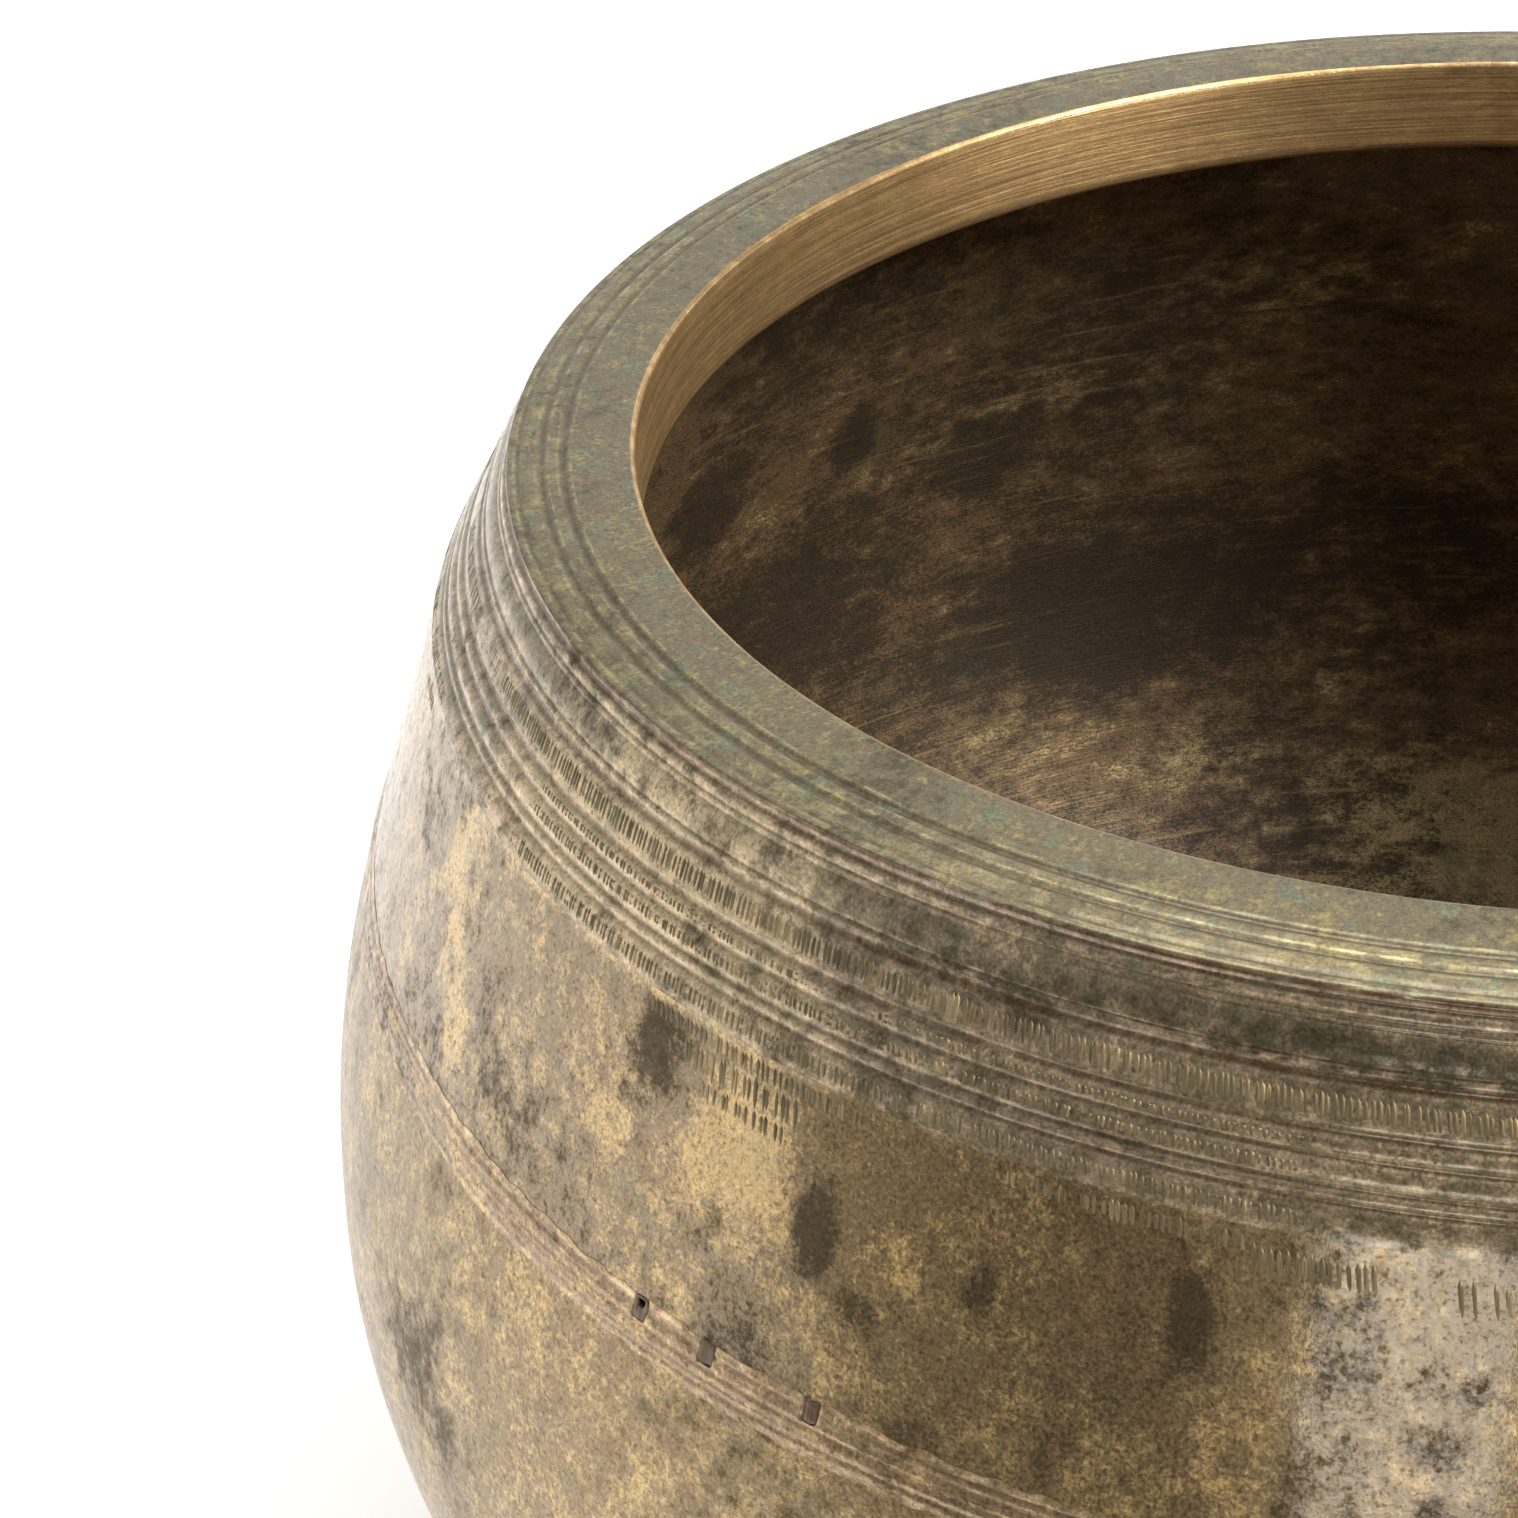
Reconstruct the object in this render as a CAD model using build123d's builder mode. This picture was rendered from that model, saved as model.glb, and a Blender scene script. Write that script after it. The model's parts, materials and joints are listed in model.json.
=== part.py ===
from build123d import *
from math import atan2, cos, hypot, radians, sin, tan
import os

# A heavy cast brass cooking bowl, standing on its base with its axis along +Z.
# All sizes are in millimetres. The origin is the centre of the base.
# Radii run outward from the axis, so every outline below lies in the XZ plane.

# Heights
base_to_belly = 88.5        # base up to the widest point
belly_to_seam = 48.1        # widest point up to the middle of the seam
seam_to_rim = 59.4          # middle of the seam up to the top of the rim

# Rim and lip
mouth_radius = 118.0        # bore of the lip
rim_width = 16.6            # flat top, from the bore to the outer edge
rim_fall = 0.8              # drop of the rim's top across its lined outer part
rim_edge = 1.0              # upright outer edge of the rim
lip_height = 14.5           # depth of the bore below the rim's top
lip_round = 0.9             # rounding of the bore's top edge
lip_foot_round = 2.0        # rounding of the bore's bottom edge
neck_round = 5.0            # hollow corner under the rim

# Turned lines in the outer part of the rim's top
rim_line_insets = (7.4, 4.6)    # middle of each line, in from the outer edge
rim_line_width = 1.4
rim_line_depth = 0.35

# Shoulder, which slopes out and down from the rim's outer edge
shoulder_angle = 61.6       # degrees below level
# Each turned band: gap above it, depth of that gap, width of the band, rise of its middle
shoulder_bands = (
    (0.7, 0.8, 6.9, 0.7),
    (1.3, 0.7, 4.0, -0.3),
    (1.2, 0.6, 1.5, 0.35),
    (0.9, 0.5, 2.1, 0.4),
    (0.7, 0.5, 0.9, 0.25),
    (0.7, 0.5, 3.4, 0.25),
)

# Body
belly_swell = 31.4          # widest point, out from the rim's outer edge
seam_swell = 23.3           # wall at the seam, out from the rim's outer edge
wall = 5.0                  # thickness of both castings
base_radius = 70.0          # flat that the bowl stands on
base_thickness = 6.0

# Seam: a band of hard solder in a groove, over a lap joint between the castings
seam_width = 6.0
seam_depth = 1.2
seam_crown = 0.25           # rise of the band's middle above the wall
lap_height = 6.0            # length of the lower casting's tongue inside the upper one
tongue_thickness = 2.0

# Square pins driven through the lap
pin_width = 2.6             # round the bowl
pin_height = 3.2            # up the wall
pin_reach = 0.6             # top edge of a pin above the top edge of the solder
pin_group_start = 234.0     # degrees round from +X
pin_steps = (0.0, 4.0, 9.5)     # degrees from the start of a group to each of its pins
pin_groups = 3

# Places worked out from the sizes above
seam_z = base_to_belly + belly_to_seam
height = seam_z + seam_to_rim
rim_radius = mouth_radius + rim_width
rim_edge_z = height - rim_fall - rim_edge
belly_radius = rim_radius + belly_swell
seam_radius = rim_radius + seam_swell
lip_foot_z = height - lip_height


def shoulder_point(along, rise):
    """Point on the shoulder: distance down its slope, and height out of it."""
    slope = radians(shoulder_angle)
    return (
        rim_radius + along * cos(slope) + rise * sin(slope),
        rim_edge_z - along * sin(slope) + rise * cos(slope),
    )


shoulder_length = sum(gap + width for gap, _, width, _ in shoulder_bands)
shoulder_foot = shoulder_point(shoulder_length, 0)
wall_tilt = atan2(seam_radius - shoulder_foot[0], shoulder_foot[1] - seam_z)
wall_length = hypot(seam_radius - shoulder_foot[0], shoulder_foot[1] - seam_z)


def wall_point(along, inset):
    """Point in the straight wall: distance down from the shoulder's foot, and depth into it."""
    return (
        shoulder_foot[0] + along * sin(wall_tilt) - inset * cos(wall_tilt),
        shoulder_foot[1] - along * cos(wall_tilt) - inset * sin(wall_tilt),
    )


band_top = wall_length - seam_width / 2
band_bottom = wall_length + seam_width / 2
tongue_top = wall_length - lap_height
tongue_inset = wall - tongue_thickness
pin_rise = seam_width / 2 + pin_reach - pin_height / 2
neck_foot = wall_point(0, wall)
neck_radius = neck_foot[0] - (lip_foot_z - neck_foot[1]) / tan(radians(shoulder_angle))
pin_angles = [
    pin_group_start + group * 360 / pin_groups + step
    for group in range(pin_groups)
    for step in pin_steps
]


def pin_plane(angle):
    """Plane on the wall's outside at the middle of a pin, facing straight out of the wall."""
    r, z = wall_point(wall_length - pin_rise, 0)
    turn = radians(angle)
    return Plane(
        origin=(r * cos(turn), r * sin(turn), z),
        x_dir=(-sin(turn), cos(turn), 0),
        z_dir=(cos(wall_tilt) * cos(turn), cos(wall_tilt) * sin(turn), sin(wall_tilt)),
    )


def rim_top_line():
    """Rim's top, from the bore's rounded edge out over the turned lines to the outer edge."""
    here = (mouth_radius + lip_round, height)
    RadiusArc((mouth_radius, height - lip_round), here, lip_round)
    lined_width = rim_line_insets[0] + rim_line_width / 2
    for inset in rim_line_insets:
        near = rim_radius - inset - rim_line_width / 2
        far = near + rim_line_width
        near_z, far_z = (
            height - rim_fall * max(0, 1 - (rim_radius - r) / lined_width) for r in (near, far)
        )
        Line(here, (near, near_z))
        ThreePointArc(
            (near, near_z),
            ((near + far) / 2, (near_z + far_z) / 2 - rim_line_depth),
            (far, far_z),
        )
        here = (far, far_z)
    Polyline(here, (rim_radius, height - rim_fall), (rim_radius, rim_edge_z))


def shoulder_line():
    """Turned bands down the shoulder, each after a sunk gap."""
    along = 0
    for gap, depth, width, rise in shoulder_bands:
        Polyline(
            shoulder_point(along, 0),
            shoulder_point(along, -depth),
            shoulder_point(along + gap, -depth),
            shoulder_point(along + gap, 0),
        )
        along += gap
        ThreePointArc(
            shoulder_point(along, 0),
            shoulder_point(along + width / 2, rise),
            shoulder_point(along + width, 0),
        )
        along += width


# Holes for the seam pins, right through the wall and the solder
with BuildPart() as pin_holes:
    for angle in pin_angles:
        with BuildSketch(pin_plane(angle)):
            Rectangle(pin_width, pin_height)
        extrude(amount=wall, both=True)

# Upper casting: rim, lip, shoulder and wall, rebated inside its lower edge
with BuildPart() as upper_casting:
    with BuildSketch(Plane.XZ):
        with BuildLine():
            rim_top_line()
            shoulder_line()
            Polyline(
                wall_point(0, 0),
                wall_point(band_top, 0),
                wall_point(band_top, seam_depth),
                wall_point(wall_length, seam_depth),
                wall_point(wall_length, tongue_inset),
                wall_point(tongue_top, tongue_inset),
                wall_point(tongue_top, wall),
                neck_foot,
            )
            FilletPolyline(
                neck_foot,
                (neck_radius, lip_foot_z),
                (mouth_radius, lip_foot_z),
                (mouth_radius, height - lip_round),
                radius=[neck_round, lip_foot_round],
            )
        make_face()
    revolve(axis=Axis.Z)
    add(pin_holes.part, mode=Mode.SUBTRACT)

# Lower casting: belly and base, with a thin tongue round its upper edge
with BuildPart() as lower_casting:
    with BuildSketch(Plane.XZ):
        with BuildLine():
            Polyline(
                wall_point(band_bottom, wall),
                wall_point(tongue_top, wall),
                wall_point(tongue_top, tongue_inset),
                wall_point(wall_length, tongue_inset),
                wall_point(wall_length, seam_depth),
                wall_point(band_bottom, seam_depth),
                wall_point(band_bottom, 0),
            )
            for inset, floor_z in ((0, 0), (wall, base_thickness)):
                belly = (belly_radius - inset, base_to_belly)
                TangentArc(belly, wall_point(band_bottom, inset), tangent=(0, 1))
                EllipticalCenterArc(
                    (base_radius, base_to_belly),
                    belly_radius - inset - base_radius,
                    base_to_belly - floor_z,
                    start_angle=270,
                    arc_size=90,
                )
                Line((0, floor_z), (base_radius, floor_z))
            Line((0, 0), (0, base_thickness))
        make_face()
    revolve(axis=Axis.Z)
    add(pin_holes.part, mode=Mode.SUBTRACT)

# Seam band: hard solder run into the groove, dressed to a slight crown
with BuildPart() as seam_band:
    with BuildSketch(Plane.XZ):
        with BuildLine():
            Polyline(
                wall_point(band_top, 0),
                wall_point(band_top, seam_depth),
                wall_point(band_bottom, seam_depth),
                wall_point(band_bottom, 0),
            )
            ThreePointArc(
                wall_point(band_bottom, 0),
                wall_point(wall_length, -seam_crown),
                wall_point(band_top, 0),
            )
        make_face()
    revolve(axis=Axis.Z)
    add(pin_holes.part, mode=Mode.SUBTRACT)

# Seam pins: flush with the wall outside and inside, in groups of three
with BuildPart() as seam_pins:
    for angle in pin_angles:
        with BuildSketch(pin_plane(angle)):
            Rectangle(pin_width, pin_height)
        extrude(amount=-wall)

os.makedirs("parts", exist_ok=True)
pieces = {
    "upper_casting": upper_casting,
    "lower_casting": lower_casting,
    "seam_band": seam_band,
    "seam_pins": seam_pins,
}
for name, piece in pieces.items():
    piece.part.label = name
    export_step(piece.part, f"parts/{name}.step")
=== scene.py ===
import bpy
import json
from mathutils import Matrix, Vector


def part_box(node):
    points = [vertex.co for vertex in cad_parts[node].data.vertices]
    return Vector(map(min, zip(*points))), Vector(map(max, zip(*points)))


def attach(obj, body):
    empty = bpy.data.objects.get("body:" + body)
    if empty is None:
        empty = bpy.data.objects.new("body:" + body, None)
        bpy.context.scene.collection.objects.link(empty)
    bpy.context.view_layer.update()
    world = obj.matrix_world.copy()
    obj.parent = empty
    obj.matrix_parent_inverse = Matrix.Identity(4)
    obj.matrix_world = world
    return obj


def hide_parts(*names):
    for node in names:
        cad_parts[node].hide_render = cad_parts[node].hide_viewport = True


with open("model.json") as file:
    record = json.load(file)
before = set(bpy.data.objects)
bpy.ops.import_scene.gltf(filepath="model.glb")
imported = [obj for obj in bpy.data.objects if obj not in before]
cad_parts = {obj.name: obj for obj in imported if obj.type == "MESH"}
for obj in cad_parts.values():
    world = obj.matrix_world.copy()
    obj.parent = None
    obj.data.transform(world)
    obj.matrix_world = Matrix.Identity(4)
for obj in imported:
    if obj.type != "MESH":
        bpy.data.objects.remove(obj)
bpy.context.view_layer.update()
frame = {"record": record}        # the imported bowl: four nodes on one body, "root"

import json
import math
import bmesh
import bpy
import numpy as np
from mathutils import Matrix, Vector

mm = 0.001

# what the frame says about the bowl; all outline work is in millimetres
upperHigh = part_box("upper_casting")[1]
lowerLow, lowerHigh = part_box("lower_casting")
mouth = next(m for m in frame["record"]["mounts"] if m["name"] == "mouth")
rimTop = upperHigh.z / mm
bellyRadius = lowerHigh.x / mm
mouthRadius = mouth["dims"]["r_mm"]


# camera, floor and light
studio = dict(
    camDistance=0.4708,      # from the middle of the mouth
    camElevation=25.63,      # degrees
    camPan=12.19,            # the lens looks this far left of the bowl
    camTilt=-6.46,
    camRoll=-3.05,
    camLens=85,
    camSensor=36,
    floorSize=6.0,
    floorTone=(0.86, 0.85, 0.84),
    tableTone=(0.07, 0.065, 0.06),   # past the paper's front edge
    paperEdge=(-0.46, -0.2),
    paperGlow=0.58,
    worldTone=(1.0, 0.985, 0.96),
    wallFacing=(-0.25, 0.97, 0.0),   # the white wall lies this way
    wallEdge=(-0.72, -0.2),
    wallStrength=0.86,
    roomStrength=0.235,
    ceilingEdge=(0.18, 0.65),        # the room gets darker upwards between these
    ceilingShare=0.45,
    lampAim=0.7,                     # share of the bowl's height that the lamps point at
    softboxes=dict(                  # place, size, power, tone
        overhead=((0.1, 0.5, 1.7), (1.2, 0.9), 13, (1, 0.97, 0.93)),
        bowlLight=((0.87, -0.2, 1.0), (0.5, 0.5), 17, (1, 0.97, 0.93)),
        frontCard=((-0.085, -1.0, 0.135), (0.25, 0.25), 0.72, (1.0, 0.98, 0.92)),
    ),
)
white = (1, 1, 1, 1)


def makeCamera():
    data = bpy.data.cameras.new("camera")
    data.lens = studio["camLens"]
    data.sensor_width = studio["camSensor"]
    data.clip_start = 0.02
    camera = bpy.data.objects.new("camera", data)
    bpy.context.scene.collection.objects.link(camera)
    e = math.radians(studio["camElevation"])
    back = Vector((0, -math.cos(e), math.sin(e)))
    aim = -back
    right = Vector((1, 0, 0))
    up = right.cross(aim)
    pan = Matrix.Rotation(math.radians(studio["camPan"]), 3, up)
    aim, right = pan @ aim, pan @ right
    tilt = Matrix.Rotation(math.radians(studio["camTilt"]), 3, right)
    aim, up = tilt @ aim, tilt @ up
    roll = Matrix.Rotation(math.radians(studio["camRoll"]), 3, aim)
    right, up = roll @ right, roll @ up
    turn = Matrix((right, up, -aim)).transposed().to_4x4()
    spot = back * studio["camDistance"] + Vector((0, 0, upperHigh.z))
    camera.matrix_world = Matrix.Translation(spot) @ turn
    bpy.context.scene.camera = camera


def addNode(tree, kind, inputs=None, **settings):
    node = tree.nodes.new(kind)
    for name, value in settings.items():
        setattr(node, name, value)
    for name, value in (inputs or {}).items():
        if isinstance(value, bpy.types.NodeSocket):
            tree.links.new(value, node.inputs[name])
        else:
            node.inputs[name].default_value = value
    return node


def mathNode(tree, operation, a, b, clamp=False):
    return addNode(tree, "ShaderNodeMath", {0: a, 1: b}, operation=operation, use_clamp=clamp).outputs[0]


def easeNode(tree, value, low, high, start=0.0, end=1.0):
    return addNode(tree, "ShaderNodeMapRange", {0: value, 1: low, 2: high, 3: start, 4: end},
                   interpolation_type="SMOOTHSTEP").outputs[0]


def facingNode(tree, direction, towards):           # how far a direction leans towards another
    return addNode(tree, "ShaderNodeVectorMath", {0: direction, 1: towards},
                   operation="DOT_PRODUCT").outputs["Value"]


def makeFloor():
    half = studio["floorSize"] / 2
    z = lowerLow.z
    corners = [(-half, -half, z), (half, -half, z), (half, half, z), (-half, half, z)]
    mesh = bpy.data.meshes.new("floor")
    mesh.from_pydata(corners, [], [(0, 1, 2, 3)])
    floor = bpy.data.objects.new("floor", mesh)
    bpy.context.scene.collection.objects.link(floor)
    material = bpy.data.materials.new("floorPaper")
    material.use_nodes = True
    tree = material.node_tree
    tree.nodes.clear()
    ray = addNode(tree, "ShaderNodeLightPath").outputs
    place = addNode(tree, "ShaderNodeTexCoord").outputs["Object"]
    # the paper ends in front, past what the camera sees
    sheet = easeNode(tree, facingNode(tree, place, studio["wallFacing"]), *studio["paperEdge"])
    near = mathNode(tree, "MAXIMUM", ray["Is Camera Ray"], sheet)
    tint = addNode(tree, "ShaderNodeMix", {0: near, 6: (*studio["tableTone"], 1), 7: (*studio["floorTone"], 1)},
                   data_type="RGBA").outputs[2]
    paper = addNode(tree, "ShaderNodeBsdfDiffuse", {"Color": tint}).outputs[0]
    seen = mathNode(tree, "ADD", ray["Is Camera Ray"], ray["Is Glossy Ray"], True)
    power = mathNode(tree, "MULTIPLY", mathNode(tree, "MULTIPLY", seen, near), studio["paperGlow"])
    glow = addNode(tree, "ShaderNodeEmission", {"Color": white, "Strength": power}).outputs[0]
    both = addNode(tree, "ShaderNodeAddShader", {0: paper, 1: glow}).outputs[0]
    addNode(tree, "ShaderNodeOutputMaterial", {"Surface": both})
    mesh.materials.append(material)


def makeWorld():                                    # white cyclorama behind and left, a dim room in front
    world = bpy.data.worlds.new("studioRoom")
    bpy.context.scene.world = world
    world.use_nodes = True
    tree = world.node_tree
    tree.nodes.clear()
    heading = addNode(tree, "ShaderNodeTexCoord").outputs["Generated"]
    wall = easeNode(tree, facingNode(tree, heading, studio["wallFacing"]), *studio["wallEdge"],
                    studio["roomStrength"], studio["wallStrength"])
    lift = addNode(tree, "ShaderNodeSeparateXYZ", {0: heading}).outputs[2]
    fade = easeNode(tree, lift, *studio["ceilingEdge"], 1.0, studio["ceilingShare"])
    strength = mathNode(tree, "MULTIPLY", wall, fade)
    room = addNode(tree, "ShaderNodeBackground", {"Color": (*studio["worldTone"], 1), "Strength": strength})
    sheet = addNode(tree, "ShaderNodeBackground", {"Color": white, "Strength": 1.0})
    seen = addNode(tree, "ShaderNodeLightPath").outputs["Is Camera Ray"]
    mix = addNode(tree, "ShaderNodeMixShader", {0: seen, 1: room.outputs[0], 2: sheet.outputs[0]}).outputs[0]
    addNode(tree, "ShaderNodeOutputWorld", {"Surface": mix})


def addSoftbox(name, spot, size, power, tone):
    data = bpy.data.lights.new(name, "AREA")
    data.shape = "RECTANGLE"
    data.size, data.size_y = size
    data.energy = power
    data.color = tone
    lamp = bpy.data.objects.new(name, data)
    bpy.context.scene.collection.objects.link(lamp)
    lamp.location = spot
    lamp.visible_camera = False
    lamp.rotation_mode = "QUATERNION"
    target = Vector((0, 0, upperHigh.z * studio["lampAim"]))
    lamp.rotation_quaternion = (Vector(spot) - target).to_track_quat("Z", "Y")


makeCamera()
makeFloor()
makeWorld()
for name, settings in studio["softboxes"].items():
    addSoftbox(name, *settings)
print("studio ready")


# the bowl's section, all in millimetres as (radius, height)
section = dict(
    rimWidth=16.6, rimFall=0.8, rimEdge=1.0, rimEdgeRound=0.45,
    rimLines=((7.4, 1.4, 0.32), (4.6, 1.3, 0.28), (1.6, 0.8, 0.14)),    # inset, width, depth
    lipHeight=14.5, lipRound=0.9, lipFootRound=2.0, neckRound=5.0,
    shoulderAngle=61.6,
    # turned bands down the shoulder: gap above the band, that gap's depth, band's width, rise, and its rubbed
    # wear with painted highlight
    shoulderBands=(
        (0.70, 0.26, 1.10, 0.12, 1.0),
        (0.30, 0.07, 0.60, 0.05, 0.5),
        (0.30, 0.06, 3.55, 0.30, 0.1),
        (0.30, 0.08, 0.80, 0.10, 0.8),
        (1.30, 0.26, 4.00, 0.10, 0.5),
        (1.10, 0.22, 1.60, 0.20, 0.6),
        (0.75, 0.18, 2.20, 0.25, 0.7),
        (0.65, 0.18, 0.90, 0.12, 0.6),
        (0.75, 0.18, 3.40, 0.22, 0.8),
    ),
    wall=5.0, baseThickness=6.0, baseRadius=70.0, beltHeight=88.5,
    seamBelowRim=59.4, seamSwell=23.3, seamWidth=6.0, seamDepth=1.2, seamCrown=0.22,
    lapHeight=6.0, tongueThickness=2.0,
    gapSpacing=0.22, bandSpacing=0.32, rimSteps=52, beltSteps=58, wallSteps=30,     # how fine the rows lie
)
# where the turned edges are painted bright, partly rubbed wear and partly painted highlight, and how dark the
# grooves beside them are painted
wear = dict(gapEdge=0.5, bandEdge=0.15, shoulderFoot=0.2, gapDirt=2.4, rimLined=0.3, rimDirt=1.8, narrowBand=2,
            lightLine=(1.3, 0.35))      # from a rim line's middle in half widths, and half its own width

rimRadius = mouthRadius + section["rimWidth"]
rimEdgeZ = rimTop - section["rimFall"] - section["rimEdge"]
slope = math.radians(section["shoulderAngle"])
seamZ = rimTop - section["seamBelowRim"]
seamRadius = rimRadius + section["seamSwell"]
lipFootZ = rimTop - section["lipHeight"]


def shoulderPoint(along, rise):
    return (rimRadius + along * math.cos(slope) + rise * math.sin(slope),
            rimEdgeZ - along * math.sin(slope) + rise * math.cos(slope))


shoulderLength = sum(band[0] + band[2] for band in section["shoulderBands"])
shoulderFoot = shoulderPoint(shoulderLength, 0)
wallTilt = math.atan2(seamRadius - shoulderFoot[0], shoulderFoot[1] - seamZ)
wallLength = math.hypot(seamRadius - shoulderFoot[0], shoulderFoot[1] - seamZ)


def wallPoint(along, inset):
    return (shoulderFoot[0] + along * math.sin(wallTilt) - inset * math.cos(wallTilt),
            shoulderFoot[1] - along * math.cos(wallTilt) - inset * math.sin(wallTilt))


bandTop = wallLength - section["seamWidth"] / 2
bandFoot = wallLength + section["seamWidth"] / 2
tongueTop = wallLength - section["lapHeight"]
tongueInset = section["wall"] - section["tongueThickness"]


def straight(a, b, spacing):
    count = max(1, round(math.dist(a, b) / spacing))
    dx, dz = b[0] - a[0], b[1] - a[1]
    return [(a[0] + dx * k / count, a[1] + dz * k / count) for k in range(count + 1)]


def rounded(path, radii, spacing, arcSteps=5):      # a path with its inner corners rounded
    points = [path[0]]
    for before, corner, after, radius in zip(path, path[1:], path[2:], radii):
        corner = Vector(corner)
        a = (Vector(before) - corner).normalized()
        b = (Vector(after) - corner).normalized()
        half = a.angle(b) / 2
        reach = radius / math.tan(half)
        centre = corner + (a + b).normalized() * radius / math.sin(half)
        first = corner + a * reach
        last = corner + b * reach
        points += straight(points[-1], first, spacing)[1:]
        for k in range(1, arcSteps + 1):
            ray = (first - centre).lerp(last - centre, k / arcSteps).normalized()
            points.append(tuple(centre + ray * radius))
    points += straight(points[-1], path[-1], spacing)[1:]
    return [(p[0], p[1]) for p in points]


def addRows(rows, points, zone, worn=0.0, dirt=0.0):
    for k, point in enumerate(points):
        w = worn[k] if isinstance(worn, list) else worn
        d = dirt[k] if isinstance(dirt, list) else dirt
        if not rows or math.dist(rows[-1][:2], point) > 0.01:
            rows.append((point[0], point[1], zone, w, d))


def shoulderRows():                                 # top to bottom: points, wear with painted highlight, darkening of the grooves
    points, worn, dirt = [], [], []
    along = 0.0
    for gap, depth, width, rise, rubbedAndLit in section["shoulderBands"]:
        count = max(3, round(gap / section["gapSpacing"]))
        for k in range(count):
            t = k / count
            dip = math.sin(math.pi * t) ** 0.8
            points.append(shoulderPoint(along + gap * t, -depth * dip))
            worn.append(rubbedAndLit * wear["gapEdge"] * max(0.0, 1 - 5 * min(t, 1 - t)))
            dirt.append(min(1.0, depth * wear["gapDirt"]) * dip)
        along += gap
        count = max(3, round(width / section["bandSpacing"]))
        for k in range(count):
            t = k / count
            hump = 4 * t * (1 - t)
            points.append(shoulderPoint(along + width * t, rise * hump))
            edge = max(0.0, 1 - 6 * min(t, 1 - t))
            # a wide band is painted brighter towards its lower edge, the side that catches the light: painted
            # highlight
            crest = rubbedAndLit * hump if width < wear["narrowBand"] else rubbedAndLit * (0.5 + 0.5 * t)
            worn.append(max(crest, wear["bandEdge"] * edge))
            dirt.append(0.0)
        along += width
    points.append(shoulderPoint(along, 0))
    worn.append(wear["shoulderFoot"])
    dirt.append(0.0)
    return points, worn, dirt


def rimRows():                                      # outer edge to the bore: points, wear with painted highlight, darkening of the rim lines
    points, worn, dirt = [], [], []
    linedWidth = section["rimLines"][0][0] + section["rimLines"][0][1] / 2
    start = section["rimEdgeRound"]
    lightPlace, lightHalf = wear["lightLine"]
    for k in range(section["rimSteps"] + 1):
        inset = start + (section["rimWidth"] - section["lipRound"] - start) * k / section["rimSteps"]
        z = rimTop - section["rimFall"] * max(0.0, 1 - inset / linedWidth)
        lineDarkening = 0.0
        rubbedAndLit = wear["rimLined"] if inset < linedWidth else 0.0
        for middle, width, depth in section["rimLines"]:
            t = abs(inset - middle) / (width / 2)
            if t < 1:
                dip = math.cos(t * math.pi / 2) ** 1.2
                z -= depth * dip
                lineDarkening = max(lineDarkening, dip * min(1.0, depth * wear["rimDirt"]))
            # a pale line beside each rim line: painted highlight
            rubbedAndLit = max(rubbedAndLit, 1 - abs(t - lightPlace) / lightHalf)
        points.append((rimRadius - inset, z))
        worn.append(0.0 if lineDarkening > 0.1 else rubbedAndLit)
        dirt.append(lineDarkening)
    return points, worn, dirt


# steady unevenness that meets itself round the bowl: a sum of waves, each with whole turns
def wavesOf(seed, count, lowTurns, highTurns, longest):
    rng = np.random.default_rng(seed)
    turns = rng.integers(lowTurns, highTurns, count)
    pitch = rng.uniform(-1, 1, count) * 2 * math.pi / longest
    phase = rng.uniform(0, 2 * math.pi, count)
    size = rng.uniform(0.5, 1.0, count)
    return turns, pitch, phase, size / np.sqrt((size ** 2).sum() / 2)


def uneven(waves, theta, along):
    total = np.zeros(np.broadcast(theta, along).shape)
    for turns, pitch, phase, size in zip(*waves):
        total += size * np.cos(turns * theta + pitch * along + phase)
    return total


sharpAngle = 50             # degrees between faces that keep their crease
leastMarkRadius = 30        # marks near the axis are drawn as if they were this far out


def spotField(spots, theta, height, radius):        # soft patches: degrees, height, half sizes, strength
    field = np.zeros(np.broadcast(theta, height).shape)
    for angle, z, halfWidth, halfHeight, strength in spots:
        turn = np.angle(np.exp(1j * (theta - math.radians(angle))))
        far = np.sqrt((turn * radius / halfWidth) ** 2 + ((height - z) / halfHeight) ** 2)
        field = np.maximum(field, strength * np.clip(1.5 - far, 0, 1))
    return field


def columnAngles(count, crowds=()):                 # even columns, with crowds of extra ones
    angles = list(np.arange(count) * 360 / count)
    for middle, half, extra in crowds:
        angles = [a for a in angles if abs(a - middle) > half]
        angles += list(np.linspace(middle - half, middle + half, extra))
    return np.radians(np.array(sorted(angles)))
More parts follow.
